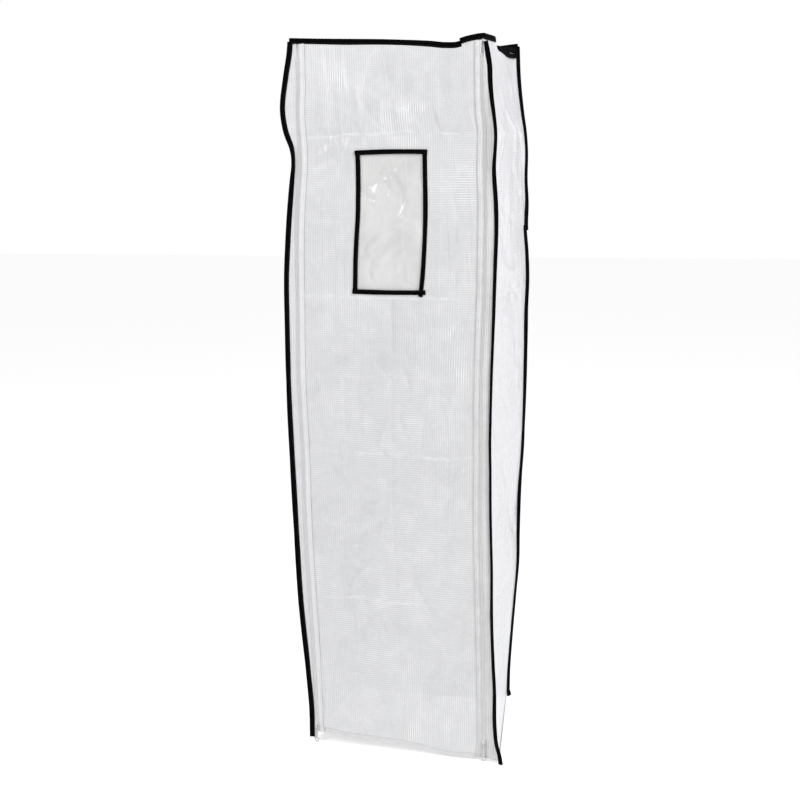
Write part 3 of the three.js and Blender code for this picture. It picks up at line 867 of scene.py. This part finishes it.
def make_top_bindings():
    jobs = (("top_front", "front", -0.012, LAP_START + 0.004), ("top_left", "left", 0.03, 0.97),
            ("top_rear", "back", -0.01, 1.01))
    for i, (name, which, t0, t1) in enumerate(jobs):
        centres, across = top_line(which, t0, t1)
        if which == "front":
            centres[:, 2] -= 3.5 * MM * smooth_step(centres[:, 0], 0.12, 0.165)
        make_binding(name, "cover", (centres, across, 60 + 3 * i))
    # The tape's second end starts on the front, turns the corner and runs back along the side
    front, _ = top_line("front", LAP_START, 1.0, lift=2 * MM)
    front[:, 1] -= 3 * MM * np.linspace(1, 0, len(front))
    side, _ = top_line("right", 0.03, 0.345, lift=1 * MM)
    side[:, 2] += mix(2, 0, np.linspace(0, 1, len(side))) * MM
    line = np.concatenate([front[:-1], side])
    lean = np.concatenate([np.zeros(len(front) - 1), np.linspace(0, 0.5, len(side))])
    across = np.stack([-0.3 * lean, np.zeros(len(line)), np.ones(len(line))], axis=-1)
    make_binding("top_front_lap", "cover", (line, across, 72), node_name="top_front_binding_lap")
    # The side's own tape lies lower, and its slack end hangs in a loop at the rear corner
    centres, across = top_line("right", 0.40, 0.99)
    loop, loop_across = top_line("right", 0.41, 0.985)
    hang = np.linspace(0, 1, len(loop))
    drop = smooth_step(hang, 0, 0.62) * (1 - 0.85 * smooth_step(hang, 0.9, 1))
    loop[:, 2] -= 12.6 * drop * MM
    loop[:, 0] += (1.5 + 2.5 * drop) * MM
    make_binding("top_right", "cover", (centres, across, 75), (loop, loop_across, 78, 10 * MM))


# ---------------------------------------------------------------- window
WINDOW_BOW = {"left": through((0, 0), (0.25, 1.5), (0.6, 5), (0.85, 2.5), (1, 0)),
              "right": through((0, -5), (0.15, -1), (0.5, 2.5), (0.8, 1.5), (1, 0))}


def make_window():
    low, high, tape = WINDOW_LOW, WINDOW_HIGH, WINDOW_TAPE
    half = high.x
    t = np.linspace(0, 1, 60)
    upright = {}
    for i, (side, sign) in enumerate((("left", -1), ("right", 1))):
        upright[side] = WINDOW_BOW[side](t) * MM + sign * (half - tape / 2)
        below = 4 * MM if side == "right" else 0.0
        line = front_place(upright[side], mix(low.z - below, high.z - 1 * MM, t))
        line[:, 1] -= 0.4 * MM
        across = np.tile([sign * 1.0, 0, 0], (len(t), 1))
        make_binding(f"window_{side}", "flap", (line, across, 80 + 3 * i), width=tape,
                     thick=3.6 * MM)
    x = np.linspace(-half, half, 40)
    level = (("top", high.z - tape / 2, 1.0, 1.5), ("bottom", low.z + tape / 2, -1.0, -1))
    for i, (side, middle, sign, bow) in enumerate(level):
        line = front_place(x, middle + bow * np.sin(math.pi * (x + half) / (2 * half)) * MM)
        line[:, 1] -= 0.8 * MM
        across = np.tile([0, 0, sign], (len(x), 1))
        make_binding(f"window_{side}", "flap", (line, across, 90 + 3 * i), width=tape,
                     thick=4.4 * MM)
    lap, rise = 5 * MM, mix(low.z + 2 * MM, high.z - 2 * MM, t)
    s, r = np.meshgrid(np.linspace(0, 1, 60), np.linspace(0, 1, 130))
    z = mix(low.z + tape - lap, high.z - tape + lap, r)
    x = mix(np.interp(z, rise, upright["left"]) - 1 * MM,
            np.interp(z, rise, upright["right"]) + 1 * MM, s)
    points = front_place(x, z)
    edge = np.clip(np.minimum(np.minimum(s, 1 - s) * 8, np.minimum(r, 1 - r) * 14), 0, 1)
    wrinkles = crumple(x + half, z - low.z, 2 * half, high.z - low.z, 41, 46, 0.07, 3.2)
    points[..., 1] += (1 + edge * wrinkles) * MM
    pane = grid_object("window_pane_film", points, np.stack([x, z], axis=-1), PANE_FILM)
    return finish_piece(pane, "flap", "clear_film", "window_pane")


# ---------------------------------------------------------------- zips
TOOTH_PITCH = 1.7 * MM
SPREAD_TOP = 44 * MM  # the flap's side leans away from the jamb's below this height
SPREAD = {-1: 11 * MM, 1: 5 * MM}
TAPE_LOW = {(-1, "jamb"): 8 * MM, (1, "jamb"): 8 * MM, (-1, "flap"): 26 * MM, (1, "flap"): 9 * MM}


def finish_zip(piece, slot, side, which, kind):
    """A jamb's half of a zip is on the cover; a flap's half runs on above the fold line."""
    zip_name = SIDE_NAMES[side]
    if which == "jamb":
        return finish_piece(piece, "cover", slot, f"{zip_name}_jamb_zip_{kind}")
    return finish_over_fold(piece, slot, f"{zip_name}_flap_zip_{kind}",
                            f"{zip_name}_header_zip_{kind}")


def zip_line(side, z, which):
    """The coil of one side of a zip, and the way from the zip's middle to that side."""
    z = np.atleast_1d(z)
    here = chain(side, z)
    away = -side if which == "flap" else side
    here[:, 0] += away * 1.25 * MM
    if which == "flap":
        here[:, 0] += away * (1 - smooth_step(z, 6 * MM, SPREAD_TOP)) * SPREAD[side]
    return here, away


def coil_low(side, which):
    return max(COIL_BOTTOM, TAPE_LOW[side, which] + 5 * MM)


def make_coil(side, which):
    """A coil as its row of teeth, each a slim rounded loop that crosses the middle line."""
    z = np.arange(coil_low(side, which), COIL_TOP, TOOTH_PITCH)
    line, away = zip_line(side, z + (TOOTH_PITCH / 2 if which == "flap" else 0), which)
    reach, thick, tall = 2.6 * MM, 1.25 * MM, 0.5 * MM
    ring = [(0.0, 0.55), (0.5, 1.0), (1.0, 0.75), (1.0, -0.75), (0.5, -1.0), (0.0, -0.55)]
    faces = prism_faces(len(ring))
    if away < 0:
        faces = turned(faces)
    pieces = Pieces()
    for p in line:
        pieces.add([(p[0] + away * (a * reach - 1.2 * MM), p[1] - 0.9 * MM + b * thick,
                     p[2] + up * (1 - 0.3 * abs(a - 0.5)))
                    for up in (-tall, tall) for a, b in ring], faces)
    made = pieces.make(f"{SIDE_NAMES[side]}_{which}_coil_teeth", COIL)
    return finish_zip(made, "zip_coil", side, which, "coil")


def tape_edges(side, which, rows=320):
    """The long edges of a zip tape: the one at the coil and the one sewn to the film."""
    z = np.linspace(TAPE_LOW[side, which], front_top(side * ZIP_X) - 3 * MM, rows)
    coil, away = zip_line(side, z, which)
    inner = coil + np.array([away * 1.0 * MM, 0.3 * MM, 0])
    if which == "jamb":
        return inner, CORNERS[f"front_{SIDE_NAMES[side]}"].seam(z)
    flat_x = side * ZIP_X + inner[:, 0] - chain(side, z)[:, 0]
    outer = front_place(flat_x + away * (FLAP_TAPE[1].x - FLAP_TAPE[0].x + 1 * MM), z)
    outer[:, 1] -= 1.2 * MM
    return inner, outer


def make_zip_tape(side, which):
    inner, outer = tape_edges(side, which)
    width = np.linalg.norm(outer - inner, axis=1)
    middle = (inner + outer) / 2
    across = unit(outer - inner)
    out = unit(np.cross(unit(np.gradient(middle, axis=0)), across))
    out = out * np.where(out[:, 1:2] > 0, -1, 1)
    half_t, columns = 0.4 * MM, 14
    a = np.linspace(-0.5, 0.5, columns)
    upper = np.stack([a, half_t + 0.35 * np.cos(a * math.pi * 8) * MM], axis=-1)
    lower = np.stack([a[::-1], np.full(columns, -half_t)], axis=-1)
    section = np.concatenate([upper, lower])
    verts, faces, uvs = strip_mesh(middle, across, out, section, width)
    uvs[:, 0] *= np.repeat(width, len(section))
    pieces = Pieces()
    pieces.add(verts, faces, uvs)
    for share in ((0.12, 0.78) if which == "flap" else (0.25,)):
        line = mix(inner, outer, share) + out * 0.8 * MM
        add_stitches(pieces, line, out, 1, pitch=3.4 * MM, length=2.5 * MM)
    # each tape takes its lit or painted-shade copy of the one tape colour
    made = pieces.make(f"{SIDE_NAMES[side]}_{which}_tape", ZIP_TAPE_LIT_AND_SHADED[side, which], WHITE_THREAD)
    return finish_zip(made, "zip_tape", side, which, "tape")


def metal_part(verts, faces, edge, segments=3):
    """A metal body with its edges bevelled."""
    made = new_object("metal", verts, faces, METAL, smooth=False)
    cut = made.modifiers.new("edges", "BEVEL")
    cut.width, cut.segments, cut.limit_method = edge, segments, "ANGLE"
    return made


def plate(outline, y0, y1, edge):
    """A flat part seen from the front: an outline of (x, z) points between two depths."""
    verts = [(x, y, z) for y in (y0, y1) for x, z in outline]
    return metal_part(verts, turned(prism_faces(len(outline))), edge)


def join(name, objects):
    """One object out of several, with their modifiers applied."""
    bpy.context.view_layer.update()
    graph = bpy.context.evaluated_depsgraph_get()
    pieces = Pieces()
    for o in objects:
        mesh = bpy.data.meshes.new_from_object(o.evaluated_get(graph))
        pieces.add([tuple(v.co) for v in mesh.vertices], [tuple(p.vertices) for p in mesh.polygons])
    for o in objects:
        bpy.data.objects.remove(o)
    made = pieces.make(name, METAL)
    made.data.shade_smooth()
    made.data.set_sharp_from_angle(angle=math.radians(38))
    return made


def rounded(points, steps, share):
    """The outline with each corner cut to a round of a few points."""
    out = []
    for i in range(len(points)):
        p, here, q = (np.array(points[k % len(points)], float) for k in (i - 1, i, i + 1))
        a, b = mix(here, p, share), mix(here, q, share)
        for t in np.linspace(0, 1, steps):
            out.append(tuple((1 - t) ** 2 * a + 2 * t * (1 - t) * here + t * t * b))
    return out


def rectangle(cx, cz, half_w, half_h):
    return [(cx - half_w, cz - half_h), (cx + half_w, cz - half_h),
            (cx + half_w, cz + half_h), (cx - half_w, cz + half_h)]


def pull_eye(cx, cz, radius, hole, y0, y1):
    """The round eye of a pull: a flat ring that is open where the rails join it."""
    angles = np.radians(np.linspace(-250, 70, 40))
    n = len(angles)
    verts = [(cx + r * math.cos(a), y, cz + r * math.sin(a))
             for y in (y0, y1) for r in (radius, hole) for a in angles]
    faces = []
    for i in range(n - 1):
        faces += [(i, i + 1, n + i + 1, n + i), (3 * n + i, 3 * n + i + 1, 2 * n + i + 1, 2 * n + i),
                  (i, 2 * n + i, 2 * n + i + 1, i + 1),
                  (n + i, n + i + 1, 3 * n + i + 1, 3 * n + i)]
    faces += [(0, n, 3 * n, 2 * n), (n - 1, 3 * n - 1, 4 * n - 1, 2 * n - 1)]
    return metal_part(verts, faces, 0.3 * MM, 2)


def box_middle(node_name):
    """A node's box, its middle and its half sizes, the last two as (x, z)."""
    low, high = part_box(node_name)
    return (low, high, ((low.x + high.x) / 2, (low.z + high.z) / 2),
            ((high.x - low.x) / 2, (high.z - low.z) / 2))


def make_slider(side):
    """Two shield-shaped plates with flanges round the teeth, and a bail over the front one."""
    name = SIDE_NAMES[side]
    low, high, (cx, cz), (half_w, half_h) = box_middle(f"{name}_zip_slider")
    back, bail_low, plate_t = high.y, low.y, 1.2 * MM
    front = 2 * FRONT_Y - back
    # The shield's right half, as shares of the half width and half height
    shield = [(0.72, 1), (0.86, 0.2), (1, -0.55), (0.8, -1), (0.25, -1)]
    shield = shield + [(0, -0.55)] + [(-x, z) for x, z in reversed(shield)]
    shield = [(x * half_w, z * half_h) for x, z in shield[-1:] + shield[:-1]]
    outline = [(cx + x, cz + z) for x, z in rounded(shield, 4, 0.28)]
    parts = [plate(outline, y, y + plate_t, 0.35 * MM) for y in (front, back - plate_t)]
    for s in (-1, 1):
        flange = [(cx + s * half_w * x, cz + half_h * z)
                  for x, z in ((0.98, -0.5), (0.82, -0.5), (0.62, 0.9), (0.78, 0.9))]
        for y0, y1 in ((front + plate_t * 0.6, front + plate_t + 0.7 * MM),
                       (back - plate_t - 0.2 * MM, back - plate_t * 0.6)):
            parts.append(plate(flange[::-s], y0, y1, 0.2 * MM))
    root, shoulder, inner, underside = (front + 0.2 * MM, front - 1.2 * MM, front - 0.6 * MM,
                                        bail_low + 1.1 * MM)
    arch = [(root, -7.0), (shoulder, -7.0), (bail_low + 0.1 * MM, -4.6), (bail_low, 4.0),
            (shoulder, 7.2), (root, 7.2), (root, 5.2), (inner, 4.6), (underside, 3.2),
            (underside, -3.6), (inner, -5.2), (root, -5.4)]
    verts = [(cx + x, y, cz + z * MM) for x in (-1.2 * MM, 1.2 * MM) for y, z in arch]
    parts.append(metal_part(verts, prism_faces(len(arch)), 0.35 * MM))
    made = join(f"{name}_slider_body", parts)
    return finish_piece(made, f"{name}_slider", "zip_metal", f"{name}_zip_slider")


def make_pull(side):
    """The pull: a yoke round the bail, two slim rails with a slot between, and a round eye."""
    name = SIDE_NAMES[side]
    low, high, (cx, _), (half, _) = box_middle(f"{name}_zip_pull")
    y0, y1, top = low.y, high.y, high.z
    eye_z, neck = low.z + half, 3.6 * MM
    joint = eye_z + half * 0.86
    parts = [pull_eye(cx, eye_z, half, half * 0.52, y0, y1)]
    for s in (-1, 1):
        rail = [(cx + s * x, z) for x, z in (
            (1.2 * MM, joint - 1.5 * MM), (3.0 * MM, joint - 1.8 * MM), (2.7 * MM, joint + 8 * MM),
            (neck, top - 9 * MM), (neck, top - 1.2 * MM), (2.2 * MM, top - 1.2 * MM),
            (1.9 * MM, top - 9 * MM), (1.1 * MM, joint + 8 * MM))]
        parts.append(plate(rail[::s], y0, y1, 0.3 * MM))
    bars = ((top - 2.4 * MM, top, neck), (joint + 6 * MM, joint + 8.6 * MM, 2.2 * MM),
            (joint - 2.2 * MM, joint + 0.6 * MM, 2.2 * MM))
    for z0, z1, wide in bars:
        bar = rounded(rectangle(cx, (z0 + z1) / 2, wide, (z1 - z0) / 2), 4, 0.3)
        parts.append(plate(bar, y0 + 0.1 * MM, y1 - 0.1 * MM, 0.25 * MM))
    made = join(f"{name}_pull_tab", parts)
    return finish_piece(made, f"{name}_pull", "zip_metal", f"{name}_zip_pull")


def make_stop(node_name, body, at=None):
    """A zip stop: a strip of metal bent round the coil's end, at its CAD place or at another."""
    low, high, middle, (half_w, half_h) = box_middle(node_name)
    place = at or middle
    clip = rounded(rectangle(*place, half_w, half_h), 4, 0.25)
    band = rounded(rectangle(*place, half_w * 0.7, half_h * 0.25), 3, 0.3)
    made = join(node_name + "_clip", [plate(clip, low.y - 0.5 * MM, high.y, 0.4 * MM),
                                      plate(band, low.y - 0.9 * MM, low.y, 0.2 * MM)])
    return finish_piece(made, body, "zip_metal", node_name)


# ---------------------------------------------------------------- hems
HEM_HEIGHT = 12 * MM


def make_hem(name, line, outward, body):
    """A film hem: the lower edge folded up and sewn, as a thin band."""
    up = np.tile([0, 0, 1.0], (len(line), 1))
    out = unit(outward)
    centres = line + up * HEM_HEIGHT / 2
    section = tape_section(HEM_HEIGHT, 1.6 * MM)
    section[:, 0] *= -1
    pieces = Pieces()
    pieces.add(*strip_mesh(centres, up, out, section[::-1]))
    for face in (1, -1):
        seam = centres + up * HEM_HEIGHT * 0.32 + out * face * 0.9 * MM
        add_stitches(pieces, seam, out * face, 1, pitch=4.6 * MM)
    return finish_piece(pieces.make(name, HEM_TAPE, WHITE_THREAD), body, "net_film")


def make_hems(walls):
    hems = {}
    for name, (_, points) in walls.items():
        edge = points[0]
        outward = np.cross(unit(np.gradient(edge, axis=0)), [0, 0, 1.0])
        hems[name] = make_hem(f"{name}_hem", edge, outward, "cover")
    x = np.linspace(-ZIP_X + 19 * MM, ZIP_X - 19 * MM, 110)
    hems["front"] = make_hem("front_hem", front_place(x, FRONT_HEM(x) * MM),
                             np.tile([0, -1.0, 0], (len(x), 1)), "flap")
    return hems


# ---------------------------------------------------------------- build
front_sheet = make_front_film()
headers = [make_header_film(side) for side in SIDE_NAMES]
wall_sheets = make_walls()
roof_sheet = make_roof()
make_corner_bindings()
make_top_bindings()
pane_sheet = make_window()
for zip_side, zip_name in SIDE_NAMES.items():
    for half in ("jamb", "flap"):
        make_zip_tape(zip_side, half)
        make_coil(zip_side, half)
    make_slider(zip_side)
    make_pull(zip_side)
    make_stop(f"{zip_name}_zip_top_stop", "cover")
    make_stop(f"{zip_name}_jamb_zip_end_stop", "cover")
    end = coil_low(zip_side, "flap") - 2.5 * MM
    make_stop(f"{zip_name}_flap_zip_end_stop", "flap",
              (zip_line(zip_side, end, "flap")[0][0, 0], end))
sheet_hems = make_hems(wall_sheets)


# ---------------------------------------------------------------- stage, light and camera
SKY_FILL = 0.5
FLOOR_GLOW = 0.5
FLOOR_HALF = 14.0
FLOOR_Z = -0.5 * MM


def make_stage():
    corners = [(x * FLOOR_HALF, y * FLOOR_HALF, FLOOR_Z)
               for x, y in ((-1, -1), (1, -1), (1, 1), (-1, 1))]
    new_object("floor", corners, [(0, 1, 2, 3)], floor_looks())
    world = bpy.data.worlds.new("studio")
    world.use_nodes = True
    tree = world.node_tree
    sky = tree.nodes["Background"]
    sky.inputs[0].default_value = (1, 1, 1, 1)
    ray = tree.nodes.new("ShaderNodeLightPath")
    tree.links.new(remap(tree, ray.outputs["Is Camera Ray"], SKY_FILL, 1.0), sky.inputs[1])
    bpy.context.scene.world = world


def floor_looks():
    material, tree, shader = new_material(
        "floor_looks", Roughness=0.9, Specular_IOR_Level=0.1, Emission_Color=(1, 1, 1, 1),
        Emission_Strength=FLOOR_GLOW)
    paint(tree, shader, noise(tree, 3, 2, 0.5), (0.90, 0.90, 0.90), (0.92, 0.92, 0.92))
    return material


def add_light(name, place, size, power, target):
    lamp = bpy.data.lights.new(name, "AREA")
    lamp.shape = "RECTANGLE"
    lamp.size, lamp.size_y = size
    lamp.energy = power
    made = bpy.data.objects.new(name, lamp)
    made.location = place
    made.rotation_euler = (Vector(target) - Vector(place)).to_track_quat("-Z", "Y").to_euler()
    bpy.context.scene.collection.objects.link(made)


def make_camera():
    data = bpy.data.cameras.new("camera")
    data.lens = CAMERA_LENS
    made = bpy.data.objects.new("camera", data)
    turn = (Matrix.Rotation(math.radians(CAMERA_YAW), 4, "Z")
            @ Matrix.Rotation(math.radians(90 - CAMERA_PITCH), 4, "X")
            @ Matrix.Rotation(math.radians(CAMERA_ROLL), 4, "Z"))
    made.matrix_world = Matrix.Translation(CAMERA_PLACE) @ turn
    bpy.context.scene.collection.objects.link(made)
    bpy.context.scene.camera = made


make_stage()
add_light("key", (2.3, -1.3, 2.9), (0.7, 1.2), 62, (0, 0, 1.3))
add_light("fill", (-1.7, -2.3, 2.5), (0.45, 1.2), 30, (0, 0, 0.9))
make_camera()
bpy.context.scene.view_settings.view_transform = "Standard"
